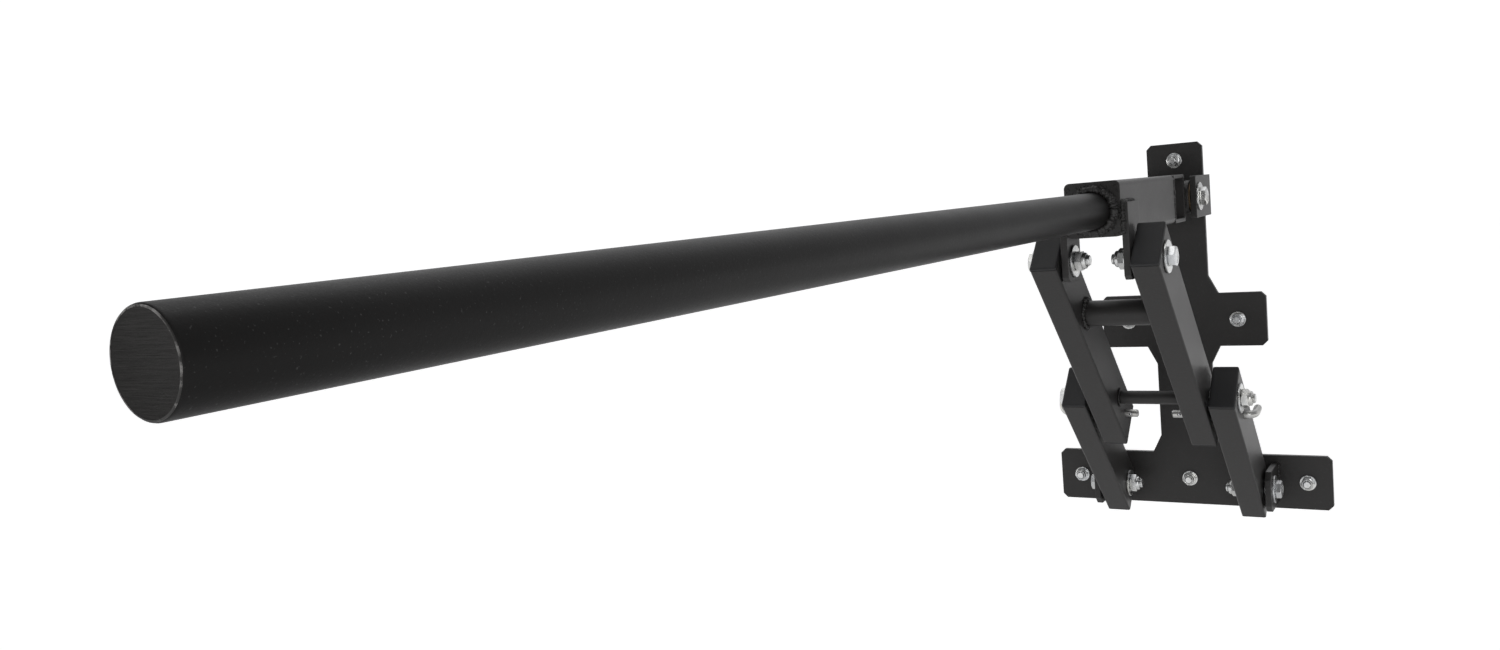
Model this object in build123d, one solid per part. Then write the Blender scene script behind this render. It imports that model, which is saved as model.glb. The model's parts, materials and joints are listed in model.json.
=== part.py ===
"""Wall-mounted folding pull-up bar.

The row frame has its origin on the wall, behind the middle stud of the bottom tab. +X runs along the
wall to the right, +Y into the wall and +Z up. Distances away from the wall are called "out", so a point
that stands out by d lies at Y = -d. Every size is in millimetres.
"""
from build123d import *
import os
from math import cos, hypot, radians, sin

os.makedirs("parts", exist_ok=True)

# Wall plate
plate_thickness = 6.0
strip_width = 60.0
middle_tab_width = 180.0
bottom_tab_width = 300.0
tab_height = 60.0
middle_tab_height_ratio = 0.566
plate_above_hinge = 60.0
plate_chamfer = 5.0
gusset_width = 10.0
gusset_height = 20.0

# Wall fixings, M8
top_stud_above_hinge = 41.0
middle_stud_spacing = 120.0
bottom_stud_spacing = 125.0
stud_radius = 4.0
anchor_radius = 5.0
anchor_length = 60.0
anchor_chamfer = 1.0
stud_hole_radius = 4.5
stud_nut_flats = 13.0
stud_nut_height = 8.0
stud_washer_radius = 8.5
stud_washer_thickness = 1.6
stud_tail = 1.2
stud_chamfer = 0.8

# Pivot hardware, M10
bolt_radius = 5.0
bolt_flats = 17.0
bolt_head_height = 6.4
bolt_end_chamfer = 1.0
lock_nut_height = 10.0
bolt_tail = 3.0
hex_part_of_nut = 0.7
collar_part_of_flats = 0.43
collar_rounding = 0.8
hex_corner_chamfer = 0.85
fender_radius = 15.0
fender_thickness = 2.0
plain_washer_radius = 10.0
running_clearance = 0.05
side_clearance = 0.3

# Top hinge
hinge_out = 62.0
ear_thickness = 6.0
hinge_ear_height = 45.0
hinge_ear_margin = 15.0
hinge_ear_rounding = 1.5
barrel_radius = 18.0
barrel_wall = 4.0
barrel_end_gap = 2.0
barrel_weld_root = 0.25
barrel_weld_toe = 0.55
barrel_weld_inset = 2.0
bush_depth = 15.0
bush_flange_radius = 16.0
bush_fit = 0.02

# Arm
arm_size = 50.0
arm_wall = 4.0
arm_corner = 5.0
arm_end_plate_thickness = 5.0
arm_front_past_pivot = 19.4
arm_tab_gap_below_arm = 21.3
arm_tab_thickness = 6.0
arm_tab_length = 40.0
arm_tab_overlap = 30.0
arm_tab_end_margin = 18.0
arm_tab_chamfer = 4.0

# Bar
bar_radius = 16.5
bar_length = 906.0
bar_below_arm_middle = 1.2
bar_end_chamfer = 0.8
bar_weld_leg = 7.0
bar_weld_bulge = 4.2

# Strut: lower link from the wall ears to the middle axle, upper link from there to the arm
strut_angle = 44.3
lower_link_length = 176.0
upper_link_length = 223.0
link_depth = 50.0
link_width = 25.0
link_wall = 3.0
link_corner = 2.0
link_inner_corner = 0.8
upper_link_head = 20.0
upper_link_foot = 53.0
lower_link_head = 20.0
lower_link_foot = 21.0
lower_link_wall_gap = 1.35
plug_rim = 3.0
plug_depth = 8.0
plug_clearance = 0.1
plug_edge_rounding = 0.9
plug_body_corner = 1.0
sleeve_wall = 3.0
tab_link_gap = 2.0
link_link_gap = 3.0
link_ear_gap = 3.0
cross_tube_radius = 12.5
cross_tube_wall = 3.0
cross_tube_from_axle = 144.0
spacer_bolt_gap = 0.5
spacer_wall = 1.5
spacer_washer_thickness = 2.0
link_ear_margin = 22.0
link_ear_height = 44.0
link_ear_chamfer = 8.0

# Lock pins
pin_radius = 4.0
pin_hole_clearance = 0.5
pin_from_axle = 30.0
pin_nose_length = 13.0
pin_tip_chamfer = 1.2
pin_end_rounding = 2.5
pin_straight = 7.0
pin_bend_radius = 8.0
pin_handle_length = 13.0
right_pin_push = 5.0
right_handle_turn = 12.0
left_handle_turn = 75.0
ball_radius = 1.75
ball_from_tip = 7.5
ball_proud = 0.4
ball_clearance = 0.1
ball_pocket_depth = 5.4
spring_wall = 0.7
part_line = 0.3

# Positions that follow from the sizes above
arm_half = arm_size / 2
tab_outer = arm_half + arm_tab_thickness
upper_inner = tab_outer + tab_link_gap
upper_outer = upper_inner + link_width
lower_inner = upper_outer + link_link_gap
lower_outer = lower_inner + link_width
link_ear_inner = lower_outer + link_ear_gap
link_ear_outer = link_ear_inner + ear_thickness
hinge_ear_inner = strip_width / 2
hinge_ear_outer = hinge_ear_inner + ear_thickness
barrel_end = hinge_ear_inner - barrel_end_gap
strut_length = lower_link_length + upper_link_length
block_back_out = hinge_out + barrel_radius
block_front_out = block_back_out + arm_size
bore_radius = bolt_radius + running_clearance
spacer_radius = bolt_radius + spacer_bolt_gap + spacer_wall
lower_pivot_out = plate_thickness + lower_link_wall_gap + hypot(lower_link_foot, link_depth / 2)
split_x = upper_outer + link_link_gap / 2


def along_strut(distance):
    """Place on the strut's centre line, as (out, z), at a distance from the lower pivot."""
    angle = radians(strut_angle)
    return lower_pivot_out + distance * cos(angle), distance * sin(angle)


arm_pivot = along_strut(strut_length)
axle = along_strut(lower_link_length)
lower_pivot = along_strut(0)
cross_tube_place = along_strut(lower_link_length + cross_tube_from_axle)
pin_place = along_strut(lower_link_length - pin_from_axle)
arm_front_out = arm_pivot[0] + arm_front_past_pivot
hinge_z = arm_pivot[1] + arm_tab_gap_below_arm + arm_half
hinge = (hinge_out, hinge_z)
middle_tab_z = hinge_z * middle_tab_height_ratio
top_stud_z = hinge_z + top_stud_above_hinge
bar_z = hinge_z - bar_below_arm_middle
plate_top_z = hinge_z + plate_above_hinge


# Helpers: round and hexagonal bodies whose axis runs along X
def round_x(radius, x_start, x_end, place):
    out, z = place
    middle = (x_start + x_end) / 2
    return Pos(middle, -out, z) * Rot(0, 90, 0) * Cylinder(radius, abs(x_end - x_start))


def ring_x(outer, inner, x_start, x_end, place):
    overshoot = 1.0 if x_end > x_start else -1.0
    return round_x(outer, x_start, x_end, place) - round_x(inner, x_start - overshoot, x_end + overshoot, place)


def hex_x(flats, x_start, x_end, place):
    out, z = place
    face = Plane(origin=(x_start, -out, z), x_dir=(0, 0, 1), z_dir=(1, 0, 0))
    prism = extrude(face * RegularPolygon(flats / 2, 6, major_radius=False), x_end - x_start)
    corner_radius = flats / 2 / cos(radians(30))
    turned = round_x(corner_radius, x_start, x_end, place)
    turned = chamfer(turned.edges().filter_by(GeomType.CIRCLE), hex_corner_chamfer)
    return prism & turned


def lock_nut_x(flats, bore, x_start, direction, height, place):
    """Nut with a nylon collar; it sits on x_start and grows in the given direction."""
    hex_end = x_start + direction * height * hex_part_of_nut
    end = x_start + direction * height
    body = hex_x(flats, min(x_start, hex_end), max(x_start, hex_end), place)
    collar = round_x(flats * collar_part_of_flats, x_start, end, place)
    collar = fillet(collar.edges().filter_by(GeomType.CIRCLE), collar_rounding)
    return body + collar - round_x(bore, x_start - direction, end + direction, place)


def bolt_x(x_head, x_end, place):
    """Hexagon bolt: the head bears on x_head and the shank ends at x_end."""
    direction = 1.0 if x_head > x_end else -1.0
    head_end = x_head + direction * bolt_head_height
    head = hex_x(bolt_flats, min(x_head, head_end), max(x_head, head_end), place)
    shank = round_x(bolt_radius, x_head, x_end, place)
    tip = shank.faces().sort_by(Axis.X)[0 if direction > 0 else -1]
    shank = chamfer(tip.edges(), bolt_end_chamfer)
    return head + shank


def both_sides(shape):
    return [shape, mirror(shape, Plane.YZ)]


def group(shapes):
    return Compound(children=list(shapes))


def save(shape, node):
    export_step(shape, f"parts/{node}.step")


def save_pair(shape, node):
    """Write a right-hand piece and its left-hand mirror as two nodes."""
    save(shape, f"{node}_right")
    save(mirror(shape, Plane.YZ), f"{node}_left")


# Wall plate
def stud_places():
    """The six fixings, as (x, z)."""
    places = [(0.0, top_stud_z)]
    places += [(side * middle_stud_spacing / 2, middle_tab_z) for side in (-1, 1)]
    places += [(side * bottom_stud_spacing, 0.0) for side in (-1, 0, 1)]
    return places


def wall_plate():
    strip = strip_width / 2
    middle = middle_tab_width / 2
    bottom = bottom_tab_width / 2
    middle_top = middle_tab_z + tab_height / 2
    middle_low = middle_tab_z - tab_height / 2
    bottom_top = tab_height / 2
    bottom_low = -tab_height / 2
    cut = plate_chamfer
    half_outline = [
        (0, plate_top_z),
        (strip - cut, plate_top_z),
        (strip, plate_top_z - cut),
        (strip, middle_top + gusset_height),
        (strip + gusset_width, middle_top),
        (middle - cut, middle_top),
        (middle, middle_top - cut),
        (middle, middle_low + cut),
        (middle - cut, middle_low),
        (strip + gusset_width, middle_low),
        (strip, middle_low - gusset_height),
        (strip, bottom_top + gusset_height),
        (strip + gusset_width, bottom_top),
        (bottom - cut, bottom_top),
        (bottom, bottom_top - cut),
        (bottom, bottom_low + cut),
        (bottom - cut, bottom_low),
        (0, bottom_low),
    ]
    left_outline = [(-x, z) for x, z in reversed(half_outline[1:-1])]
    face = make_face(Polyline(*half_outline, *left_outline, close=True))
    holes = [Pos(x, z) * Circle(stud_hole_radius) for x, z in stud_places()]
    return extrude(Plane.XZ * (face - holes), plate_thickness)


save(wall_plate(), "wall_plate")


# Wall fixings: studs, washers and lock nuts stand along Y, so they are made along X and turned
def wall_fixing(shape):
    return [Pos(x, 0, z) * Rot(0, 0, -90) * shape for x, z in stud_places()]


nut_seat = plate_thickness + stud_washer_thickness
stud_end = nut_seat + stud_nut_height + stud_tail
anchor = round_x(anchor_radius, -anchor_length, 0, (0, 0))
anchor = chamfer(anchor.faces().sort_by(Axis.X)[0].edges(), anchor_chamfer)
thread = round_x(stud_radius, -anchor_length / 2, stud_end, (0, 0))
thread = chamfer(thread.faces().sort_by(Axis.X)[-1].edges(), stud_chamfer)
stud = anchor + thread
stud_washer = ring_x(stud_washer_radius, stud_radius + running_clearance, plate_thickness, nut_seat, (0, 0))
stud_nut = lock_nut_x(stud_nut_flats, stud_radius + running_clearance, nut_seat, 1, stud_nut_height, (0, 0))
save(group(wall_fixing(stud)), "wall_studs")
save(group(wall_fixing(stud_washer)), "wall_washers")
save(group(wall_fixing(stud_nut)), "wall_nuts")


# Ears
def hinge_ear():
    """Plate on the strip's side edge, from the wall to past the hinge bolt."""
    length = hinge_out + hinge_ear_margin
    middle_x = (hinge_ear_inner + hinge_ear_outer) / 2
    ear = Pos(middle_x, -length / 2, hinge_z) * Box(ear_thickness, length, hinge_ear_height)
    front_edges = ear.edges().filter_by(Axis.X).sort_by(Axis.Y)[:2]
    ear = fillet(front_edges, hinge_ear_rounding)
    return ear - round_x(bore_radius, hinge_ear_inner - 1, hinge_ear_outer + 1, hinge)


def link_ear():
    """Plate that stands on the bottom tab, with its front corners cut off."""
    length = lower_pivot_out + link_ear_margin - plate_thickness
    middle_x = (link_ear_inner + link_ear_outer) / 2
    ear = Pos(middle_x, -plate_thickness - length / 2, 0) * Box(ear_thickness, length, link_ear_height)
    front_edges = ear.edges().filter_by(Axis.X).sort_by(Axis.Y)[:2]
    ear = chamfer(front_edges, link_ear_chamfer)
    return ear - round_x(bore_radius, link_ear_inner - 1, link_ear_outer + 1, lower_pivot)


save_pair(hinge_ear(), "hinge_ear")
save_pair(link_ear(), "link_ear")

# Top hinge bolt, through both ears
hinge_seat = hinge_ear_outer + fender_thickness
hinge_bolt_end = -hinge_seat - lock_nut_height - bolt_tail
hinge_washer = ring_x(fender_radius, bore_radius, hinge_ear_outer, hinge_seat, hinge)
save(bolt_x(hinge_seat, hinge_bolt_end, hinge), "hinge_bolt")
save(group(both_sides(hinge_washer)), "hinge_washers")
save(lock_nut_x(bolt_flats, bore_radius, -hinge_seat, -1, lock_nut_height, hinge), "hinge_nut")

# Lower pivot bolts: head outside the ear, nut on the inner side of the lower link
ear_seat = link_ear_outer + fender_thickness
ear_nut_seat = lower_inner - side_clearance - fender_thickness
ear_washers = [
    ring_x(fender_radius, bore_radius, link_ear_outer, ear_seat, lower_pivot),
    ring_x(plain_washer_radius, bore_radius, lower_outer + side_clearance, link_ear_inner, lower_pivot),
    ring_x(fender_radius, bore_radius, ear_nut_seat, ear_nut_seat + fender_thickness, lower_pivot),
]
ear_bolt = bolt_x(ear_seat, ear_nut_seat - lock_nut_height - bolt_tail, lower_pivot)
ear_nut = lock_nut_x(bolt_flats, bore_radius, ear_nut_seat, -1, lock_nut_height, lower_pivot)
save(group(both_sides(ear_bolt)), "ear_bolts")
save(group([part for washer in ear_washers for part in both_sides(washer)]), "ear_washers")
save(group(both_sides(ear_nut)), "ear_nuts")


# Arm
def square_tube(size, wall, corner, length):
    outline = RectangleRounded(size, size, corner)
    hollow = RectangleRounded(size - 2 * wall, size - 2 * wall, corner - wall)
    return extrude(outline - hollow, length)


def arm_tube():
    back = Plane(origin=(0, -block_front_out, hinge_z), x_dir=(1, 0, 0), z_dir=(0, -1, 0))
    length = arm_front_out - arm_end_plate_thickness - block_front_out
    return back * square_tube(arm_size, arm_wall, arm_corner, length)


def arm_end_plate():
    back_out = arm_front_out - arm_end_plate_thickness
    back = Plane(origin=(0, -back_out, hinge_z), x_dir=(1, 0, 0), z_dir=(0, -1, 0))
    return back * extrude(RectangleRounded(arm_size, arm_size, arm_corner), arm_end_plate_thickness)


def hinge_block():
    """Short piece of the same tube, laid across the back of the arm; its ends stay open."""
    middle_out = (block_back_out + block_front_out) / 2
    side = Plane(origin=(-arm_half, -middle_out, hinge_z), x_dir=(0, 1, 0), z_dir=(1, 0, 0))
    return side * square_tube(arm_size, arm_wall, arm_corner, arm_size)


def hinge_barrel():
    return ring_x(barrel_radius, barrel_radius - barrel_wall, -barrel_end, barrel_end, hinge)


def hinge_bush():
    """Flanged bush pressed into the barrel's right-hand end."""
    flange_end = hinge_ear_inner - side_clearance
    body = round_x(barrel_radius - barrel_wall - bush_fit, barrel_end - bush_depth, barrel_end, hinge)
    flange = round_x(bush_flange_radius, barrel_end, flange_end, hinge)
    return body + flange - round_x(bore_radius, 0, flange_end + 1, hinge)


def barrel_weld():
    """Fillets above and below the line where the barrel meets the block."""
    near, far = barrel_radius * barrel_weld_root, barrel_radius * barrel_weld_toe
    length = arm_size - 2 * barrel_weld_inset
    beads = []
    for side in (-1, 1):
        z = hinge_z + side * (near + far) / 2
        bead = Pos(0, -(block_back_out - far / 2), z) * Box(length, far, far - near)
        beads.append(bead - round_x(barrel_radius, -arm_size, arm_size, hinge))
    return group(beads)


def arm_tab():
    """Flat bar on the arm's right-hand side that hangs down to the upper pivot."""
    top = hinge_z - arm_half + arm_tab_overlap
    bottom = arm_pivot[1] - arm_tab_end_margin
    middle_x = (arm_half + tab_outer) / 2
    middle_out = arm_front_out - arm_tab_length / 2
    tab = Pos(middle_x, -middle_out, (top + bottom) / 2) * Box(arm_tab_thickness, arm_tab_length, top - bottom)
    tab = chamfer(tab.edges().filter_by(Axis.X).sort_by(Axis.Z)[:2], arm_tab_chamfer)
    return tab - round_x(bore_radius, arm_half - 1, tab_outer + 1, arm_pivot)


def bar():
    front = Plane(origin=(0, -arm_front_out, bar_z), x_dir=(1, 0, 0), z_dir=(0, -1, 0))
    rod = extrude(front * Circle(bar_radius), bar_length)
    free_end = rod.faces().sort_by(Axis.Y)[0]
    return chamfer(free_end.edges(), bar_end_chamfer)


def bar_weld():
    """Fillet bead round the bar where it meets the end plate."""
    near_bar = (bar_radius, -arm_front_out)
    on_plate = (bar_radius + bar_weld_leg, -arm_front_out)
    on_bar = (bar_radius, -arm_front_out - bar_weld_leg)
    crest = (bar_radius + bar_weld_bulge, -arm_front_out - bar_weld_bulge)
    edges = Line(near_bar, on_plate) + ThreePointArc(on_plate, crest, on_bar) + Line(on_bar, near_bar)
    return Pos(0, 0, bar_z) * revolve(make_face(edges), Axis.Y)


save(arm_tube(), "arm_tube")
save(arm_end_plate(), "arm_end_plate")
save(hinge_block(), "hinge_block")
save(hinge_barrel(), "hinge_barrel")
save(barrel_weld(), "barrel_weld")
save(group(both_sides(hinge_bush())), "hinge_bushes")
save_pair(arm_tab(), "arm_tab")
save(bar(), "bar")
save(bar_weld(), "bar_weld")

# Upper pivot bolts: head outside the upper link, nut inside the tab
tab_seat = upper_outer + side_clearance + fender_thickness
tab_nut_seat = arm_half - fender_thickness
tab_washers = [
    ring_x(fender_radius, bore_radius, upper_outer + side_clearance, tab_seat, arm_pivot),
    ring_x(plain_washer_radius, bore_radius, tab_outer, upper_inner - side_clearance, arm_pivot),
    ring_x(fender_radius, bore_radius, tab_nut_seat, arm_half, arm_pivot),
]
tab_bolt = bolt_x(tab_seat, tab_nut_seat - lock_nut_height - bolt_tail, arm_pivot)
tab_nut = lock_nut_x(bolt_flats, bore_radius, tab_nut_seat, -1, lock_nut_height, arm_pivot)
save(group(both_sides(tab_bolt)), "tab_bolts")
save(group([part for washer in tab_washers for part in both_sides(washer)]), "tab_washers")
save(group(both_sides(tab_nut)), "tab_nuts")


# Links: tubes along the strut's centre line
def strut_plane(distance, x):
    """Plane across the strut; its Z runs up the strut and its Y to the back."""
    out, z = along_strut(distance)
    angle = radians(strut_angle)
    return Plane(origin=(x, -out, z), x_dir=(1, 0, 0), z_dir=(0, -cos(angle), sin(angle)))


def link(x_inner, start, end, pivots):
    """Rectangular tube between two distances, with bolt holes and one pin hole across it."""
    middle = x_inner + link_width / 2
    outline = RectangleRounded(link_width, link_depth, link_corner)
    hollow = RectangleRounded(link_width - 2 * link_wall, link_depth - 2 * link_wall, link_inner_corner)
    tube = strut_plane(start + plug_rim, middle) * extrude(outline - hollow, end - start - 2 * plug_rim)
    for distance in pivots:
        tube -= round_x(bore_radius, x_inner - 1, x_inner + link_width + 1, along_strut(distance))
    return tube - round_x(pin_radius + pin_hole_clearance, x_inner - 1, x_inner + link_width + 1, pin_place)


def plug(x_inner, distance, inward):
    """Plastic end plug: a rim as large as the tube, and a body inside it. inward is +1 or -1 up the strut."""
    middle = x_inner + link_width / 2
    rim_face = RectangleRounded(link_width, link_depth, link_corner)
    inset = 2 * (link_wall + plug_clearance)
    body_face = RectangleRounded(link_width - inset, link_depth - inset, plug_body_corner)
    plane = strut_plane(distance, middle)
    rim = plane * extrude(rim_face, inward * plug_rim)
    outer_edges = rim.edges().group_by(Axis((0, 0, 0), plane.z_dir))[0 if inward > 0 else -1]
    rim = fillet(outer_edges, plug_edge_rounding)
    return rim + plane * extrude(body_face, inward * (plug_rim + plug_depth))


def sleeve(x_inner, distance):
    """Tube welded across a link, so that its bolt can't crush it."""
    inner, outer = x_inner + link_wall, x_inner + link_width - link_wall
    return ring_x(bolt_radius + sleeve_wall, bore_radius, inner, outer, along_strut(distance))


upper_start = lower_link_length - upper_link_foot
upper_end = strut_length + upper_link_head
lower_start = -lower_link_foot
lower_end = lower_link_length + lower_link_head

save_pair(link(upper_inner, upper_start, upper_end, (lower_link_length, strut_length)), "upper_link")
save_pair(link(lower_inner, lower_start, lower_end, (0, lower_link_length)), "lower_link")

upper_plugs = [plug(upper_inner, upper_start, 1), plug(upper_inner, upper_end, -1)]
lower_plugs = [plug(lower_inner, lower_start, 1), plug(lower_inner, lower_end, -1)]
save(group([part for piece in upper_plugs for part in both_sides(piece)]), "upper_link_plugs")
save(group([part for piece in lower_plugs for part in both_sides(piece)]), "lower_link_plugs")

upper_sleeves = [sleeve(upper_inner, lower_link_length), sleeve(upper_inner, strut_length)]
lower_sleeves = [sleeve(lower_inner, 0), sleeve(lower_inner, lower_link_length)]
save(group([part for piece in upper_sleeves for part in both_sides(piece)]), "upper_link_sleeves")
save(group([part for piece in lower_sleeves for part in both_sides(piece)]), "lower_link_sleeves")

# Tubes between the upper links
cross_inner = cross_tube_radius - cross_tube_wall
save(ring_x(cross_tube_radius, cross_inner, -upper_inner, upper_inner, cross_tube_place), "cross_tube")
spacer_end = upper_inner - spacer_washer_thickness
save(ring_x(spacer_radius, spacer_radius - spacer_wall, -spacer_end, spacer_end, axle), "spacer_tube")
spacer_washer = ring_x(plain_washer_radius, bore_radius, spacer_end, upper_inner, axle)
save(group(both_sides(spacer_washer)), "spacer_washers")

# Middle axle: one long bolt, parted in the gaps between the links so that the linkage can open there
axle_half = split_x - part_line / 2
axle_seat = lower_outer + fender_thickness
axle_tail = axle_seat + lock_nut_height + bolt_tail
axle_start = split_x + part_line / 2
save(round_x(bolt_radius, -axle_half, axle_half, axle), "axle")
axle_right_end = round_x(bolt_radius, axle_start, axle_tail, axle)
axle_right_end = chamfer(axle_right_end.faces().sort_by(Axis.X)[-1].edges(), bolt_end_chamfer)
axle_left_end = bolt_x(-axle_seat, -axle_start, axle)
save(group([axle_right_end, axle_left_end]), "axle_ends")
axle_washer = ring_x(fender_radius, bore_radius, lower_outer, axle_seat, axle)
lower_spacer = ring_x(plain_washer_radius, bore_radius, axle_start, lower_inner, axle)
upper_spacer = ring_x(plain_washer_radius, bore_radius, upper_outer, axle_half, axle)
save(group(both_sides(axle_washer) + both_sides(lower_spacer)), "axle_washers")
save(group(both_sides(upper_spacer)), "upper_link_spacers")
save(lock_nut_x(bolt_flats, bore_radius, axle_seat, 1, lock_nut_height, axle), "axle_nut")


# Lock pins: an L-shaped rod outside the split line, and the nose with its detent ball inside it
def lock_pin(push, handle_turn):
    """Right-hand handle and shank, pushed in by push. handle_turn is the handle's angle above the way to the wall."""
    out, z = pin_place
    straight_end = lower_outer + pin_straight - push
    bend_x = straight_end + pin_bend_radius
    angle = radians(handle_turn)
    toward = (0.0, cos(angle), sin(angle))

    def reach(x, distance):
        return (x, -out + toward[1] * distance, z + toward[2] * distance)

    start = reach(axle_start, 0)
    bend_start = reach(straight_end, 0)
    bend_end = reach(bend_x, pin_bend_radius)
    handle_end = reach(bend_x, pin_bend_radius + pin_handle_length)
    path = Line(start, bend_start)
    path += TangentArc(bend_start, bend_end, tangent=(1, 0, 0))
    path += Line(bend_end, handle_end)
    rod = sweep(Plane(origin=start, z_dir=(1, 0, 0)) * Circle(pin_radius), path=path)
    tip = rod.faces().filter_by(GeomType.PLANE).sort_by_distance(handle_end)[0]
    return fillet(tip.edges(), pin_end_rounding)


tip_x = upper_inner - pin_nose_length
ball_x = tip_x + ball_from_tip
pocket_radius = ball_radius + ball_clearance
ball_sink = pin_radius + ball_proud - ball_radius
pocket_floor = pin_radius - ball_pocket_depth
spring_length = ball_sink - ball_radius - pocket_floor - 2 * ball_clearance


def toward_front(shape, distance):
    """Turn a body made along Z to stand across the right-hand pin, towards its front."""
    out, z = pin_place
    return Pos(ball_x, -out - distance, z) * Rot(90, 0, 0) * shape


def lock_nose(push):
    nose = round_x(pin_radius, tip_x, axle_half + push, pin_place)
    nose = chamfer(nose.faces().sort_by(Axis.X)[0].edges(), pin_tip_chamfer)
    depth = pin_radius + 1 - pocket_floor
    return nose - toward_front(Cylinder(pocket_radius, depth), pocket_floor + depth / 2)


def detent_spring():
    coil = Cylinder(ball_radius, spring_length) - Cylinder(ball_radius - spring_wall, spring_length + 1)
    return toward_front(coil, pocket_floor + ball_clearance + spring_length / 2)


ball = toward_front(Sphere(ball_radius), ball_sink)
pushed = Pos(-right_pin_push, 0, 0)
save(lock_pin(right_pin_push, right_handle_turn), "lock_pin_right")
save(pushed * lock_nose(right_pin_push), "lock_nose_right")
save(pushed * ball, "detent_ball_right")
save(pushed * detent_spring(), "detent_spring_right")
save(mirror(lock_pin(0, left_handle_turn), Plane.YZ), "lock_pin_left")
save(mirror(lock_nose(0), Plane.YZ), "lock_nose_left")
save(mirror(ball, Plane.YZ), "detent_ball_left")
save(mirror(detent_spring(), Plane.YZ), "detent_spring_left")
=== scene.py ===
import bmesh
import bpy
import json
import random
from math import cos, pi, radians, sin, sqrt, tan
from mathutils import Matrix, Vector


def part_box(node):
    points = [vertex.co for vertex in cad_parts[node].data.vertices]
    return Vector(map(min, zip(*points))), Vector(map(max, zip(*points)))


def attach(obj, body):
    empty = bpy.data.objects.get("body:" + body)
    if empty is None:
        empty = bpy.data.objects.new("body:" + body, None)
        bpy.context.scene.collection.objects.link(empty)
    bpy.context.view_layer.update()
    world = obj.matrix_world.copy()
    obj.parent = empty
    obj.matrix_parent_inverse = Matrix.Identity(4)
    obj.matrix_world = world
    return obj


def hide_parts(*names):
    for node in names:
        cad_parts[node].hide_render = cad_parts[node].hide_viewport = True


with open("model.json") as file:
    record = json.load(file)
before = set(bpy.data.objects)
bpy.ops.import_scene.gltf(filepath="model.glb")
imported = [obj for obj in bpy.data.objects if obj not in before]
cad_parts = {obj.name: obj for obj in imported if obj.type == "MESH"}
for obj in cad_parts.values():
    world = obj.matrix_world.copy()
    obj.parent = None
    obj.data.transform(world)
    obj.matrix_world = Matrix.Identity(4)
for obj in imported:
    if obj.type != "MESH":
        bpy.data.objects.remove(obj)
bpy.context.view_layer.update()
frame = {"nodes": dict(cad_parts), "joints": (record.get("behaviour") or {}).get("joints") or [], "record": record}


# --- Room ---------------------------------------------------------------------------------------------
# A pale studio: bright behind and to the right of the bar, dimmer in front, with a matt floor well below
# the lowest point that the bar swings to. The floor glows with painted light: dim under the bar, which
# paints shade there, and brighter further out.
scene = bpy.context.scene
scene.view_settings.view_transform = "Standard"
scene.view_settings.look = "None"

eye = Vector((0.30730, -1.44065, 0.35088))
yaw, pitch, roll = radians(31.732), radians(-5.389), radians(-4.831)
lens_in_widths = 1216.26 / 1500
forward = Vector((-sin(yaw) * cos(pitch), cos(yaw) * cos(pitch), sin(pitch)))
level_right = forward.cross(Vector((0, 0, 1))).normalized()
level_up = level_right.cross(forward)
camera_right = level_right * cos(roll) + level_up * sin(roll)
camera_up = level_up * cos(roll) - level_right * sin(roll)
camera_data = bpy.data.cameras.new("studio_camera")
camera_data.sensor_width = 36
camera_data.lens = 36 * lens_in_widths
camera_data.clip_start = 0.02
camera = bpy.data.objects.new("studio_camera", camera_data)
scene.collection.objects.link(camera)
turn = Matrix((camera_right, camera_up, -forward)).transposed()
camera.matrix_world = Matrix.Translation(eye) @ turn.to_4x4()
scene.camera = camera


class Wire:
    """One output of a node. Sums and products of wires and numbers add the Math nodes for them."""

    def __init__(self, web, socket):
        self.web = web
        self.socket = socket

    def maths(self, operation, first, second):
        return self.web.add("ShaderNodeMath", {"operation": operation}, {0: first, 1: second})

    def __add__(self, other):
        return self.maths("ADD", self, other)

    def __radd__(self, other):
        return self.maths("ADD", other, self)

    def __sub__(self, other):
        return self.maths("SUBTRACT", self, other)

    def __rsub__(self, other):
        return self.maths("SUBTRACT", other, self)

    def __mul__(self, other):
        return self.maths("MULTIPLY", self, other)

    def __rmul__(self, other):
        return self.maths("MULTIPLY", other, self)

    def clamped(self, low=0.0, high=1.0):
        return self.maths("MINIMUM", self.maths("MAXIMUM", self, low), high)

    def beside(self, out):
        """Another output of the same node."""
        return Wire(self.web, self.socket.node.outputs[out])


class Web:
    """A node tree being wired up, of a material, the room or a Geometry Nodes recipe."""

    def __init__(self, tree):
        self.tree = tree

    def add(self, kind, settings=None, sockets=None, out=0):
        """A new node: its settings first, then its sockets by name or number. Gives the output asked for."""
        node = self.tree.nodes.new(kind)
        for key, value in (settings or {}).items():
            if key == "stops":
                ramp = node.color_ramp
                while len(ramp.elements) < len(value):
                    ramp.elements.new(1.0)
                for element, (place, colour) in zip(ramp.elements, value):
                    element.position = place
                    element.color = (*colour, 1.0)
            else:
                setattr(node, key, value)
        for key, value in (sockets or {}).items():
            if isinstance(value, Wire):
                self.tree.links.new(value.socket, node.inputs[key])
            else:
                node.inputs[key].default_value = value
        return Wire(self, node.outputs[out]) if len(node.outputs) else node

    def mixed(self, factor, first, second):
        """first where factor is 0 and second where it is 1, as colours."""
        sockets = {0: factor, 6: first, 7: second}
        return self.add("ShaderNodeMix", {"data_type": "RGBA"}, sockets, out=2)


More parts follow.
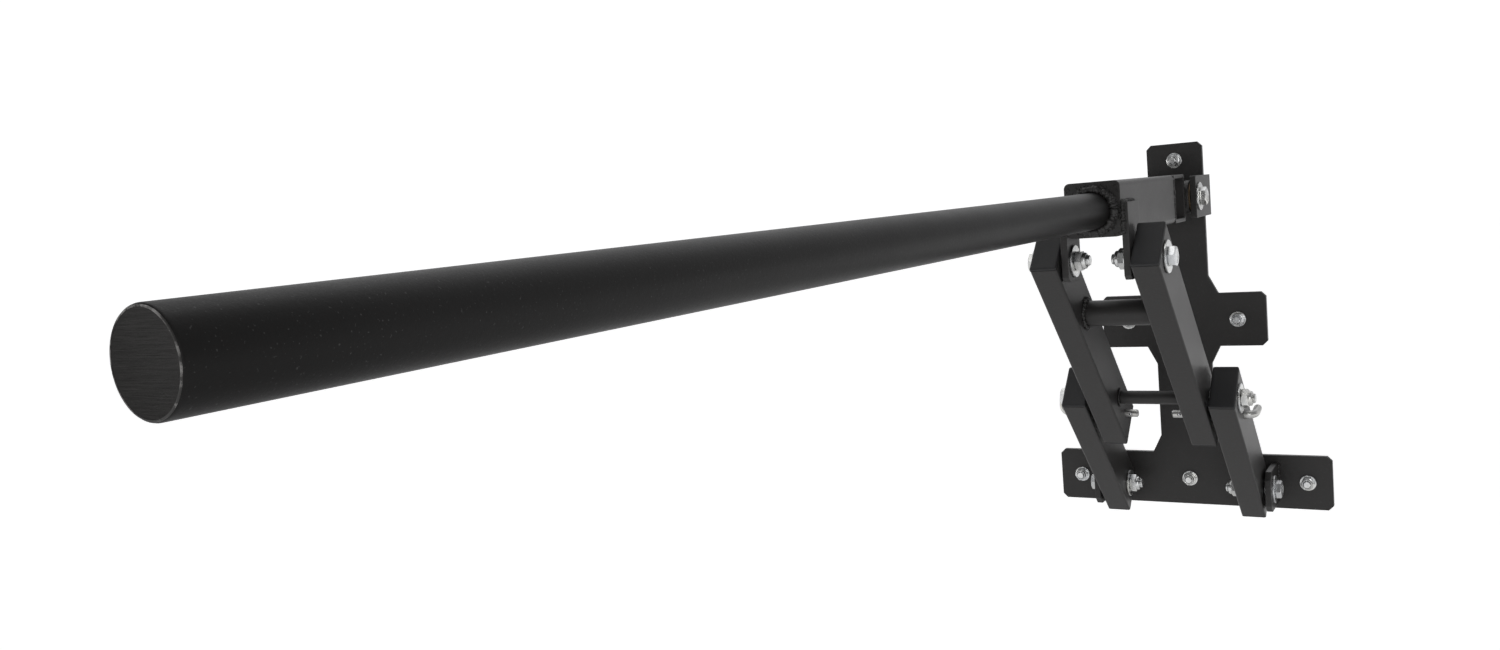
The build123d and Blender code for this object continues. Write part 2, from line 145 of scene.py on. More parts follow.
room = bpy.data.worlds.new("studio_room")
room.use_nodes = True
room.node_tree.nodes.clear()
web = Web(room.node_tree)
way = web.add("ShaderNodeTexCoord")
to_right = web.add("ShaderNodeSeparateXYZ", {}, {0: way})
to_back, to_top = to_right.beside("Y"), to_right.beside("Z")
behind = (to_back * 3.4 - 0.4).clamped() * (1 - (to_right * 8).clamped() * 0.52)
beside = (to_right * 1.3 - 0.35).clamped()
above = (to_top * 1.6 - 0.2).clamped()
everywhere, from_behind, from_beside, from_above = 0.15, 0.91, 0.03, 0.12
light = everywhere + behind * from_behind + beside * from_beside + above * from_above
sky = web.add("ShaderNodeCombineColor", {}, {0: light, 1: light, 2: light * 1.01})
glow = web.add("ShaderNodeBackground", {}, {"Color": sky, "Strength": 1.0})
web.add("ShaderNodeOutputWorld", {}, {0: glow})
scene.world = room


def softbox(name, place, aim, width, height, watts):
    """A soft rectangular lamp at a place, turned to face its aim."""
    lamp = bpy.data.lights.new(name, "AREA")
    lamp.shape = "RECTANGLE"
    lamp.size, lamp.size_y = width, height
    lamp.energy = watts
    holder = bpy.data.objects.new(name, lamp)
    scene.collection.objects.link(holder)
    holder.location = place
    holder.rotation_euler = (Vector(aim) - Vector(place)).to_track_quat("-Z", "Y").to_euler()


softbox("right_softbox", (2.2, 0.5, 0.8), (0, -0.2, 0.2), 1.2, 1.4, 2)
softbox("top_softbox", (-0.5, -0.7, 2.4), (0, -0.6, 0.2), 2.0, 0.7, 6)
softbox("left_softbox", (-2.4, -1.0, 0.4), (0, -0.3, 0.1), 0.6, 1.6, 10)
softbox("front_softbox", (0.9, -2.6, 0.7), (0, -0.1, 0.15), 0.6, 0.9, 9)


def mesh_piece(name, points, faces, finish=None, sharp=radians(32)):
    """An object from corner points and faces, smooth except where it turns by more than sharp."""
    mesh = bpy.data.meshes.new(name)
    mesh.from_pydata(points, [], faces)
    mesh.update()
    mesh.shade_smooth()
    mesh.set_sharp_from_angle(angle=sharp)
    if finish:
        mesh.materials.append(finish)
    piece = bpy.data.objects.new(name, mesh)
    scene.collection.objects.link(piece)
    return piece


floor_height, reach = -1.4, 40.0
glowing_floor = bpy.data.materials.new("glowing_floor")
glowing_floor.use_nodes = True
floor_web = Web(glowing_floor.node_tree)
paint = glowing_floor.node_tree.nodes["Principled BSDF"]
paint.inputs["Base Color"].default_value = (0.80, 0.80, 0.80, 1)
paint.inputs["Roughness"].default_value = 0.9
paint.inputs["Emission Strength"].default_value = 1.0
# Painted glow: the floor emits light, dim grey within about 1.6 m of the middle, a painted shade under the bar,
# and paler beyond.
spot = floor_web.add("ShaderNodeTexCoord", {}, {}, out=3)
far = floor_web.add("ShaderNodeVectorMath", {"operation": "LENGTH"}, {0: spot}, out=1)
dim_out_to, brighter_per_metre = 1.6, 0.55
fade = ((far - dim_out_to) * brighter_per_metre).clamped()
shade = floor_web.mixed(fade, (0.13, 0.13, 0.13, 1), (0.62, 0.62, 0.62, 1))
floor_web.tree.links.new(shade.socket, paint.inputs["Emission Color"])
corners = [(a * reach, b * reach, floor_height) for a, b in ((-1, -1), (1, -1), (1, 1), (-1, 1))]
mesh_piece("studio_floor", corners, [(0, 1, 2, 3)], glowing_floor)


# --- Wall plate ---------------------------------------------------------------------------------------
# One laser-cut sheet of 6 mm steel, with a strip and two cross tabs, that everything else is fixed to.
# It has a satin black powder coat, as all the fabricated steel has.
class Finish(Web):
    """A material: its node tree, and the Principled shader that the wires end in."""

    def __init__(self, name):
        self.material = bpy.data.materials.new(name)
        self.material.use_nodes = True
        super().__init__(self.material.node_tree)
        self.shader = self.tree.nodes["Principled BSDF"]
        self.place = self.add("ShaderNodeTexCoord", {}, {}, out=3)

    def grain(self, scale, detail=2.0, roughness=0.5, stretch=None):
        """Noise from 0 to 1 over the piece. scale is in lumps to the metre."""
        place = self.place
        if stretch:
            place = self.add("ShaderNodeMapping", {}, {"Vector": place, "Scale": stretch})
        sockets = {"Vector": place, "Scale": scale, "Detail": detail, "Roughness": roughness}
        return self.add("ShaderNodeTexNoise", {}, sockets)

    def edges(self, radius):
        """1 on edges and 0 on faces: how far the rounded normal leaves the flat one."""
        rounded = self.add("ShaderNodeBevel", {"samples": 6}, {"Radius": radius})
        flat = self.add("ShaderNodeNewGeometry", {}, {}, out=3)
        along = self.add("ShaderNodeVectorMath", {"operation": "DOT_PRODUCT"}, {0: rounded, 1: flat}, out=1)
        return rounded, 1 - along

    def bumped(self, height, strength, distance, normal=None):
        """The normal tilted by a height that varies over the surface."""
        sockets = {"Strength": strength, "Distance": distance, "Height": height}
        if normal:
            sockets["Normal"] = normal
        return self.add("ShaderNodeBump", {}, sockets)

    def surface(self, **wires):
        """Feed the shader's sockets, named with _ for a space, and give the material."""
        for key, value in wires.items():
            socket = self.shader.inputs[key.replace("_", " ")]
            if isinstance(value, Wire):
                self.tree.links.new(value.socket, socket)
            else:
                socket.default_value = value
        return self.material


def powder_coat(name, shade, roughness, texture, edge_light=0.55, gloss=0.36):
    """Black powder coat: a fine leathery texture, thin and lighter over the edges, a little dusty."""
    coat = Finish(name)
    rounded, edge = coat.edges(0.0011)
    pebble = coat.grain(1500, 3.0, 0.55)
    peel = coat.grain(420, 2.0)
    cloud = coat.grain(11, 4.0, 0.6)
    speck = (coat.grain(900, 1.0) * 9.0 - 6.15).clamped()
    worn = (edge * 3.2 * (coat.grain(60, 4.0) * 1.6 - 0.25).clamped()).clamped() * edge_light
    dust = (cloud * 1.7 - 0.45).clamped()
    clean, dusty, thin = (
        (shade * red, shade * green, shade * blue, 1)
        for red, green, blue in ((1.05, 1.0, 0.98), (1.5, 1.42, 1.38), (4.2, 4.1, 4.0)))
    dark = coat.mixed(dust, clean, dusty)
    lit = coat.mixed(worn, dark, thin)
    colour = coat.mixed(speck * 0.18, lit, (0.16, 0.16, 0.16, 1))
    height = pebble * texture + peel * (texture * 1.3)
    bump = coat.bumped(height, 0.40, 0.0002, rounded)
    rough = (roughness + (pebble - 0.5) * 0.20 + (cloud - 0.5) * 0.14 - worn * 0.12).clamped(0.18, 0.85)
    return coat.surface(Base_Color=colour, Roughness=rough, Normal=bump, Specular_IOR_Level=gloss)


nodes = frame["nodes"]


def coat_node(names, finish):
    """Give CAD nodes a finish."""
    for name in names:
        node = nodes[name]
        node.data.materials.clear()
        node.data.materials.append(finish)


steel_coat = powder_coat("steel_coat", shade=0.017, roughness=0.42, texture=1.0)
coat_node(["wall_plate"], steel_coat)


# --- Wall fixings -------------------------------------------------------------------------------------
# Six M8 anchors in the wall. Each has a zinc-plated sleeve in the masonry, a threaded end through the
# plate, a washer and a lock nut with a nylon ring.
def zinc_plate(name, tint, roughness, blotch=0.5):
    """Bright zinc over steel: cloudy, a little blue or straw coloured, with fine rolling marks, and a painted
    highlight along every edge.
    """
    zinc = Finish(name)
    rounded, edge = zinc.edges(0.0004)
    cloud = zinc.grain(130, 4.0, 0.65)
    fine = zinc.grain(2600, 2.0)
    stain = (zinc.grain(45, 3.0) * 2.6 - 1.0).clamped()
    warm = zinc.mixed(stain * blotch, tint, (0.58, 0.55, 0.46, 1))
    cool = zinc.mixed((cloud * 2.0 - 0.8).clamped() * 0.4, warm, (0.36, 0.39, 0.43, 1))
    # Painted highlight: every edge is lightened towards pale grey, a brighter reflection painted along it.
    colour = zinc.mixed((edge * 4.0).clamped() * 0.5, cool, (0.80, 0.80, 0.80, 1))
    bump = zinc.bumped(fine + cloud * 2, 0.25, 0.0001, rounded)
    rough = (roughness + (cloud - 0.5) * 0.30 + (fine - 0.5) * 0.10).clamped(0.12, 0.7)
    return zinc.surface(Base_Color=colour, Metallic=1.0, Roughness=rough, Normal=bump)


bright_zinc = zinc_plate("bright_zinc", (0.66, 0.67, 0.68, 1), 0.27)


def ringed(name, rings, finish=None, steps=72, closed=True, sharp=radians(32)):
    """A body round Z from rings, each (radius, height) or a function of the angle that gives them."""
    points, faces, rows = [], [], []
    for ring in rings:
        row = []
        for step in range(steps):
            angle = 2 * pi * step / steps
            radius, height = ring(angle) if callable(ring) else ring
            if radius == 0 and row:
                row.append(row[0])
                continue
            row.append(len(points))
            points.append((radius * cos(angle), radius * sin(angle), height))
        rows.append(row)
    pairs = list(zip(rows, rows[1:]))
    if closed:
        pairs.append((rows[-1], rows[0]))
    for low, high in pairs:
        for step in range(steps):
            after = (step + 1) % steps
            face = [low[step], low[after], high[after], high[step]]
            slim = [corner for place, corner in enumerate(face) if corner not in face[:place]]
            if len(slim) > 2:
                faces.append(slim)
    return mesh_piece(name, points, faces, finish, sharp)


def hexagon(across_flats, height, inset=0.0):
    """A ring that follows a hexagon at one height, drawn in to a cone where its corners are chamfered."""
    flat_circle = across_flats * 0.475

    def ring(angle):
        turned = (angle + pi / 6) % (pi / 3) - pi / 6
        radius = across_flats / 2 / cos(turned)
        return radius, height + inset * (radius - flat_circle) * tan(radians(30))

    return ring


def washer(name, outer, bore, thick):
    """A flat ring on Z = 0 with softened edges."""
    soft = min(0.0003, thick * 0.25)
    rings = [
        (bore, 0), (outer - soft, 0), (outer, soft), (outer, thick - soft),
        (outer - soft, thick), (bore + soft, thick), (bore, thick - soft)]
    return ringed(name, rings)


def lock_nut(name, across_flats, bore, height):
    """Hexagon with a turned collar over the nylon ring. It sits on Z = 0."""
    side = height * 0.68
    collar = across_flats * 0.44
    lip = collar - height * 0.15
    rings = [
        (bore, 0.0002), (bore + 0.0003, 0), (across_flats * 0.475, 0),
        hexagon(across_flats, 0, 1), hexagon(across_flats, side, -1), (across_flats * 0.475, side),
        (collar, side), (collar, height * 0.88), (collar - height * 0.05, height * 0.97),
        (collar - height * 0.09, height), (lip, height), (lip - height * 0.02, height * 0.97),
        (lip - height * 0.03, height * 0.92), (bore, height * 0.88)]
    return ringed(name, rings)


def nylon_ring(name, across_flats, bore, height):
    """The insert that shows between the collar's lip and the thread."""
    outer = across_flats * 0.44 - height * 0.185
    rings = [
        (bore, height * 0.84), (outer, height * 0.84), (outer, height * 0.925), (bore + 0.0002, height * 0.94)]
    return ringed(name, rings)


def threaded_rod(name, radius, pitch, start, end, thread_from, tip=0.0006):
    """A rod along Z, plain below thread_from and threaded from there to its chamfered tip."""
    rings = [(0, start), (radius * 0.97, start), (radius * 0.97, thread_from)]
    root = radius - pitch * 0.55
    height = thread_from
    while height + pitch < end - tip:
        crest = radius * 0.99
        rings += [(root, height + pitch * 0.1), (crest, height + pitch * 0.45), (crest, height + pitch * 0.6)]
        height += pitch
    rings += [(root, height + pitch * 0.1), (radius * 0.96, end - tip), (radius * 0.96 - tip, end), (0, end)]
    return ringed(name, rings, closed=False, sharp=radians(50))


class Recipe(Web):
    """A Geometry Nodes tree with named inputs."""

    def __init__(self, name, inputs):
        super().__init__(bpy.data.node_groups.new(name, "GeometryNodeTree"))
        self.tree.interface.new_socket("Geometry", in_out="INPUT", socket_type="NodeSocketGeometry")
        for label, kind in inputs.items():
            self.tree.interface.new_socket(label, in_out="INPUT", socket_type="NodeSocket" + kind)
        self.tree.interface.new_socket("Geometry", in_out="OUTPUT", socket_type="NodeSocketGeometry")
        self.entry = self.tree.nodes.new("NodeGroupInput")

    def given(self, label):
        return Wire(self, self.entry.outputs[label])

    def served(self, geometry, material):
        """Every recipe ends here: real mesh, smooth, with its material."""
        solid = self.add("GeometryNodeRealizeInstances", {}, {0: geometry})
        finished = self.add("GeometryNodeSetMaterial", {}, {"Geometry": solid, "Material": material})
        self.add("NodeGroupOutput", {}, {0: finished})
        return self.tree

    def cook(self, name, base, values, sharp=radians(32)):
        """Run the recipe on a base mesh and keep the result as one plain mesh."""
        modifier = base.modifiers.new(name, "NODES")
        modifier.node_group = self.tree
        for item in self.tree.interface.items_tree:
            if item.in_out == "INPUT" and item.name in values:
                modifier[item.identifier] = values[item.name]
        base.update_tag()
        bpy.context.view_layer.update()
        baked = base.evaluated_get(bpy.context.evaluated_depsgraph_get())
        mesh = bpy.data.meshes.new_from_object(baked)
        base.modifiers.remove(modifier)
        bpy.data.objects.remove(base)
        mesh.name = name
        mesh.shade_smooth()
        mesh.set_sharp_from_angle(angle=sharp)
        piece = bpy.data.objects.new(name, mesh)
        scene.collection.objects.link(piece)
        return piece


fitting_inputs = {"Pattern": "Object", "Seed": "Int", "Spin": "Float", "Material": "Material"}
fitting = Recipe("fitting_recipe", fitting_inputs)
pattern = fitting.add("GeometryNodeObjectInfo", {}, {"Object": fitting.given("Pattern")}, out=4)
facing = fitting.add("GeometryNodeInputNamedAttribute", {"data_type": "FLOAT_VECTOR"}, {"Name": "facing"})
upright = fitting.add("FunctionNodeAlignRotationToVector", {"axis": "Z"}, {"Vector": facing})
spin_range = {2: 0.0, 3: fitting.given("Spin"), "Seed": fitting.given("Seed")}
spun = fitting.add("FunctionNodeRandomValue", {"data_type": "FLOAT"}, spin_range, out=1)
about = fitting.add("FunctionNodeAxisAngleToRotation", {}, {"Axis": (0, 0, 1), "Angle": spun})
stance = fitting.add("FunctionNodeRotateRotation", {"rotation_space": "LOCAL"}, {0: upright, 1: about})
fitted = fitting.add(
    "GeometryNodeInstanceOnPoints", {},
    {"Points": fitting.given("Geometry"), "Instance": pattern, "Rotation": stance})
fitting.served(fitted, fitting.given("Material"))


def fit(name, pattern_piece, places, finish, body, replaced=(), seed=1):
    """Put a pattern piece at each (point, direction), turned at random about it, to ride on one body."""
    base_mesh = bpy.data.meshes.new(name + "_places")
    base_mesh.from_pydata([tuple(point) for point, _ in places], [], [])
    ways = base_mesh.attributes.new("facing", "FLOAT_VECTOR", "POINT")
    for number, (_, direction) in enumerate(places):
        ways.data[number].vector = direction
    base = bpy.data.objects.new(name + "_places", base_mesh)
    scene.collection.objects.link(base)
    values = {"Pattern": pattern_piece, "Seed": seed, "Spin": 2 * pi, "Material": finish}
    piece = fitting.cook(name, base, values)
    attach(piece, body)
    if replaced:
        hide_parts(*replaced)
    bpy.data.objects.remove(pattern_piece)


nylon = Finish("nut_nylon")
nylon_grain = nylon.grain(1200, 2.0)
nut_nylon = nylon.surface(
    Base_Color=nylon.mixed(nylon_grain, (0.055, 0.060, 0.075, 1), (0.10, 0.11, 0.13, 1)),
    Roughness=0.35 + nylon_grain * 0.15, Normal=nylon.bumped(nylon_grain, 0.2, 0.0001))

plate_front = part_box("wall_plate")[0].y
washer_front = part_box("wall_washers")[0].y
stud_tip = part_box("wall_studs")[0].y
nut_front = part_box("wall_nuts")[0].y
anchor_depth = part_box("wall_studs")[1].y
outward = Vector((0, -1, 0))
mounts = {mount["name"]: Vector(mount["pos_m"]) for mount in frame["record"]["mounts"]}
wall_places = [(point, outward) for name, point in mounts.items() if name.startswith("wall_stud")]


def stood(places, out):
    """The wall places moved to a height in front of the wall."""
    return [(Vector((point.x, out, point.z)), way) for point, way in places]


m8_radius, m8_pitch, sleeve_radius = 0.004, 0.00125, 0.005
m8_nut = {"across_flats": 0.013, "bore": 0.00392, "height": washer_front - nut_front}
stud_body = threaded_rod("stud_pattern", m8_radius, m8_pitch, plate_front / 2, -stud_tip, -washer_front)
fit("wall_studs_threaded", stud_body, stood(wall_places, 0), bright_zinc, "wall_plate", seed=3)
sleeve_rings = [
    (0, 0), (0.0034, 0), (sleeve_radius, 0), (sleeve_radius, 0.020), (0.00475, 0.0205), (0.00475, 0.0215),
    (sleeve_radius, 0.022), (sleeve_radius, 0.043), (0.0046, 0.0435), (0.0046, 0.046), (sleeve_radius, 0.0465),
    (sleeve_radius, anchor_depth - 0.001), (m8_radius, anchor_depth), (0, anchor_depth)]
sleeve_pattern = ringed("sleeve_pattern", sleeve_rings, closed=False)
into_wall = [(point, -way) for point, way in wall_places]
fit("wall_anchor_sleeves", sleeve_pattern, stood(into_wall, 0), bright_zinc, "wall_plate",
    ["wall_studs"], seed=4)
washer_pattern = washer("wall_washer_pattern", 0.0085, 0.00405, plate_front - washer_front)
fit("wall_washers_plated", washer_pattern, stood(wall_places, plate_front), bright_zinc, "wall_plate",
    ["wall_washers"])
nut_pattern = lock_nut("wall_nut_pattern", **m8_nut)
fit("wall_nuts_plated", nut_pattern, stood(wall_places, washer_front), bright_zinc, "wall_plate",
    ["wall_nuts"], seed=7)
ring_pattern = nylon_ring("wall_ring_pattern", **m8_nut)
fit("wall_nut_rings", ring_pattern, stood(wall_places, washer_front), nut_nylon, "wall_plate",
    seed=7)


# --- Ears ---------------------------------------------------------------------------------------------
# Four ears of 6 mm flat bar. Two stand on the strip's edges and hold the hinge bolt, and two stand on the
# bottom tab for the links. Each is held by a run of weld along its foot, coated with the rest.
coat_node(["hinge_ear_left", "hinge_ear_right", "link_ear_left", "link_ear_right"], steel_coat)
weld_coat = powder_coat("weld_coat", shade=0.014, roughness=0.34, texture=0.6, edge_light=0.25)

bead = Recipe("weld_bead_recipe", {"Width": "Float", "Pitch": "Float", "Seed": "Int", "Material": "Material"})
seam = bead.add("GeometryNodeMeshToCurve", {}, {"Mesh": bead.given("Geometry")})
spacing = {"Curve": seam, "Length": bead.given("Pitch")}
stops = bead.add("GeometryNodeCurveToPoints", {"mode": "LENGTH"}, spacing)
wide = bead.given("Width")
wobble_range = {2: 0.66, 3: 1.20, "Seed": bead.given("Seed")}
wobble = bead.add("FunctionNodeRandomValue", {"data_type": "FLOAT"}, wobble_range, out=1)
astray = 0.0006
shift_range = {0: (-astray, -astray, -astray), 1: (astray, astray, astray), "Seed": bead.given("Seed")}
shift = bead.add("FunctionNodeRandomValue", {"data_type": "FLOAT_VECTOR"}, shift_range)
strewn = bead.add("GeometryNodeSetPosition", {}, {"Geometry": stops, "Offset": shift})
drop = bead.add("GeometryNodeMeshIcoSphere", {}, {"Radius": 0.5, "Subdivisions": 3})
drop_size = bead.add("ShaderNodeCombineXYZ", {}, {0: wide * wobble, 1: wide * wobble, 2: wide * 0.62})
lean = bead.add("FunctionNodeAlignRotationToVector", {"axis": "Z"}, {"Vector": stops.beside("Tangent")})
drops = bead.add(
    "GeometryNodeInstanceOnPoints", {},
    {"Points": strewn, "Instance": drop, "Rotation": lean, "Scale": drop_size})
bead.served(drops, bead.given("Material"))


def weld(name, runs, width, body, seed, replaced=(), pitch=None):
    """Lay a bead along each run of points."""
    points, joins = [], []
    for run in runs:
        first = len(points)
        points += [tuple(point) for point in run]
        joins += [(first + i, first + i + 1) for i in range(len(run) - 1)]
    base_mesh = bpy.data.meshes.new(name + "_seams")
    base_mesh.from_pydata(points, joins, [])
    base = bpy.data.objects.new(name + "_seams", base_mesh)
    scene.collection.objects.link(base)
    values = {"Width": width, "Pitch": pitch or width * 0.24, "Seed": seed, "Material": weld_coat}
    piece = bead.cook(name, base, values, radians(70))
    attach(piece, body)
    if replaced:
        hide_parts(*replaced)


ear_runs = []
for side in ("left", "right"):
    low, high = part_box("link_ear_" + side)
    for x in (low.x, high.x):
        ear_runs.append([(x, plate_front, low.z + 0.003), (x, plate_front, high.z - 0.003)])
weld("link_ear_welds", ear_runs, 0.0044, "wall_plate", 11)
strip_runs = []
for side in ("left", "right"):
    low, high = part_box("hinge_ear_" + side)
    inner = min(abs(low.x), abs(high.x))
    inner = inner if side == "right" else -inner
    strip_runs.append([(inner, plate_front, low.z + 0.002), (inner, plate_front, high.z - 0.002)])
weld("hinge_ear_welds", strip_runs, 0.0042, "wall_plate", 12)


# --- Pivot bolts --------------------------------------------------------------------------------------
# M10 bolts, lock nuts and washers, zinc plated. They hold the arm between the hinge ears, the lower links
# to their ears and the upper links to the arm's tabs.
m10_flats, m10_radius, m10_pitch, m10_head, m10_nut = 0.017, 0.005, 0.0015, 0.0064, 0.010
washer_thick, past_nut, clearance = 0.002, 0.003, 0.0003


def hex_bolt(name, length, thread):
    """Head from Z = 0 up, with its washer face and a shallow dish on top, and the shank below."""
    top, end, pitch, tip, face = m10_head, -length, m10_pitch, 0.0008, 0.0004
    root, crest = m10_radius * 0.86, m10_radius * 0.99
    rings = [(0, end), (m10_radius * 0.85, end), (m10_radius * 0.97, end + tip)]
    height = end + tip
    while height + pitch < end + thread:
        rings += [(crest, height + pitch * 0.45), (crest, height + pitch * 0.6), (root, height + pitch * 0.95)]
        height += pitch
    rings += [
        (crest, height + pitch), (crest, 0), (m10_flats * 0.455, 0), (m10_flats * 0.455, face),
        (m10_flats * 0.475, face), hexagon(m10_flats, face, 0), hexagon(m10_flats, top, -1),
        (m10_flats * 0.475, top), (m10_flats * 0.36, top), (m10_flats * 0.33, top - face), (0, top - face)]
    return ringed(name, rings, closed=False)


def outer_ends(node):
    """How far a left-right pair of pieces reaches from the middle."""
    return max(abs(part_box(node)[0].x), abs(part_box(node)[1].x))


def across(x, pivot, both=True):
    """Places at x on a pivot's axis, facing away from the middle, on the right or on both sides."""
    right = (Vector((x, pivot.y, pivot.z)), Vector((1, 0, 0)))
    left = (Vector((-x, pivot.y, pivot.z)), Vector((-1, 0, 0)))
    return [right, left] if both else [right]


def turned_in(places):
    """The same places, facing the middle."""
    return [(point, -way) for point, way in places]


hinges = {joint["name"]: Vector(joint["pos_m"]) for joint in frame["joints"] if "pos_m" in joint}
hinge_pivot, link_pivot, tab_pivot = hinges["arm_fold"], hinges["lower_link_turn"], hinges["upper_link_turn"]
m10_lock_nut = {"across_flats": m10_flats, "bore": 0.00492, "height": m10_nut}
fender = {"outer": 0.015, "bore": 0.00505}
plain = {"outer": 0.010, "bore": 0.00505}

hinge_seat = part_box("hinge_bolt")[1].x - m10_head
hinge_ear_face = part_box("hinge_ear_right")[1].x
hinge_length = hinge_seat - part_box("hinge_bolt")[0].x
fit("hinge_bolt_plated", hex_bolt("hinge_bolt_pattern", hinge_length, 0.028),
    across(hinge_seat, hinge_pivot, False), bright_zinc, "wall_plate", ["hinge_bolt"], seed=2)
fit("hinge_washers_plated", washer("hinge_washer_pattern", **fender, thick=hinge_seat - hinge_ear_face),
    across(hinge_ear_face, hinge_pivot), bright_zinc, "wall_plate", ["hinge_washers"])
hinge_nut_place = across(hinge_seat, hinge_pivot)[1:]
fit("hinge_nut_plated", lock_nut("hinge_nut_pattern", **m10_lock_nut), hinge_nut_place,
    bright_zinc, "wall_plate", ["hinge_nut"], seed=5)
fit("hinge_nut_ring", nylon_ring("hinge_ring_pattern", **m10_lock_nut), hinge_nut_place,
    nut_nylon, "wall_plate")

ear_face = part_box("link_ear_right")[1].x
ear_seat = outer_ends("ear_bolts") - m10_head
ear_nut_seat = outer_ends("ear_nuts")
lower_inner, lower_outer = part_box("lower_link_right")[0].x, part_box("lower_link_right")[1].x
ear_inner_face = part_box("link_ear_right")[0].x
ear_bolt_length = ear_seat - ear_nut_seat + m10_nut + past_nut
fit("ear_bolts_plated", hex_bolt("ear_bolt_pattern", ear_bolt_length, 0.026), across(ear_seat, link_pivot),
    bright_zinc, "wall_plate", ["ear_bolts"], seed=9)
fit("ear_washers_outer", washer("ear_washer_pattern", **fender, thick=ear_seat - ear_face),
    across(ear_face, link_pivot), bright_zinc, "wall_plate", ["ear_washers"])
fit("ear_washers_inner", washer("ear_nut_washer_pattern", **fender, thick=washer_thick),
    turned_in(across(ear_nut_seat + washer_thick, link_pivot)), bright_zinc, "wall_plate")
fit("ear_spacers", washer("ear_spacer_pattern", **plain, thick=ear_inner_face - lower_outer - clearance),
    across(lower_outer + clearance, link_pivot), bright_zinc, "wall_plate")
ear_nut_places = turned_in(across(ear_nut_seat, link_pivot))
fit("ear_nuts_plated", lock_nut("ear_nut_pattern", **m10_lock_nut), ear_nut_places,
    bright_zinc, "wall_plate", ["ear_nuts"], seed=15)
fit("ear_nut_rings", nylon_ring("ear_ring_pattern", **m10_lock_nut), ear_nut_places,
    nut_nylon, "wall_plate")

tab_seat = outer_ends("tab_bolts") - m10_head
tab_nut_seat = outer_ends("tab_nuts")
tab_inner_face, tab_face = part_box("arm_tab_right")[0].x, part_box("arm_tab_right")[1].x
upper_inner, upper_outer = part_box("upper_link_right")[0].x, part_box("upper_link_right")[1].x
tab_bolt_length = tab_seat - tab_nut_seat + m10_nut + past_nut
fit("tab_bolts_plated", hex_bolt("tab_bolt_pattern", tab_bolt_length, 0.026), across(tab_seat, tab_pivot),
    bright_zinc, "arm", ["tab_bolts"], seed=21)
fit("tab_washers_outer", washer("tab_washer_pattern", **fender, thick=washer_thick),
    across(tab_seat - washer_thick, tab_pivot), bright_zinc, "arm", ["tab_washers"])
fit("tab_washers_inner", washer("tab_nut_washer_pattern", **fender, thick=washer_thick),
    turned_in(across(tab_inner_face, tab_pivot)), bright_zinc, "arm")
fit("tab_spacers", washer("tab_spacer_pattern", **plain, thick=upper_inner - tab_face - clearance),
    across(tab_face, tab_pivot), bright_zinc, "arm")
tab_nut_places = turned_in(across(tab_nut_seat, tab_pivot))
fit("tab_nuts_plated", lock_nut("tab_nut_pattern", **m10_lock_nut), tab_nut_places,
    bright_zinc, "arm", ["tab_nuts"], seed=23)
fit("tab_nut_rings", nylon_ring("tab_ring_pattern", **m10_lock_nut), tab_nut_places,
    nut_nylon, "arm")


# --- Arm ----------------------------------------------------------------------------------------------
# Square 50 mm tube. A short piece of the same tube lies across its back and carries the hinge barrel, and
# a welded plate closes its front. Two tabs of flat bar hang down from its sides for the strut.
coat_node(["arm_tube", "arm_end_plate", "hinge_block", "arm_tab_left", "arm_tab_right"], steel_coat)
coat_node(["barrel_weld"], weld_coat)


def round_tube(name, node, outer, bore, soft, finish, body):
    """A tube along X in place of its CAD node, with many sides and softened ends."""
    low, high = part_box(node)
    centre = (low + high) / 2
    length = high.x - low.x
    rings = [
        (bore, -length / 2 + soft), (bore + soft, -length / 2), (outer - soft, -length / 2),
        (outer, -length / 2 + soft), (outer, length / 2 - soft), (outer - soft, length / 2),
        (bore + soft, length / 2), (bore, length / 2 - soft)]
    piece = ringed(name, rings, finish, 96)
    piece.data.transform(Matrix.Translation(centre) @ Matrix.Rotation(pi / 2, 4, "Y"))
    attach(piece, body)
    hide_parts(node)


round_tube("hinge_barrel_tube", "hinge_barrel", 0.018, 0.014, 0.0006, steel_coat, "arm")
bronze = Finish("bush_bronze")
bronze_grain = bronze.grain(1800, 3.0)
bush_bronze = bronze.surface(
    Base_Color=bronze.mixed(bronze_grain, (0.085, 0.062, 0.040, 1), (0.16, 0.12, 0.08, 1)),
    Metallic=1.0, Roughness=0.4 + bronze_grain * 0.2, Normal=bronze.bumped(bronze_grain, 0.3, 0.0001))
coat_node(["hinge_bushes"], bush_bronze)

block_low, block_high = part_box("hinge_block")
barrel_gap, short_of_end, proud = 0.0085, 0.003, 0.0008
weld_runs = []
for z in (hinge_pivot.z - barrel_gap, hinge_pivot.z + barrel_gap):
    y = block_high.y + proud
    weld_runs.append([(block_low.x + short_of_end, y, z), (block_high.x - short_of_end, y, z)])
weld("barrel_welds", weld_runs, 0.0052, "arm", 31)
arm_low, arm_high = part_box("arm_tube")
corner, y, low_z = 0.005, arm_high.y, arm_low.z + 0.0002
seam_runs = []
for x in (arm_low.x * 0.995, arm_high.x * 0.995):
    seam_runs.append([(x, y, arm_low.z + corner), (x, y, arm_high.z - corner)])
seam_runs.append([(arm_low.x + corner, y, low_z), (arm_high.x - corner, y, low_z)])
weld("block_welds", seam_runs, 0.0017, "arm", 32)

tab_low, tab_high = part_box("arm_tab_right")
back_y, front_y, top_z = tab_high.y + 0.0004, tab_low.y - 0.0003, tab_high.z + 0.0004
tab_runs = []
for side in (-1, 1):
    x = side * (tab_low.x + 0.0006)
    front_x = x + side * proud
    tab_runs.append([(x, back_y, arm_low.z + 0.006), (x, back_y, top_z), (x, tab_low.y + 0.001, top_z)])
    tab_runs.append([(front_x, front_y, tab_high.z - 0.001), (front_x, front_y, arm_low.z + short_of_end)])
weld("tab_welds", tab_runs, 0.0042, "arm", 33)
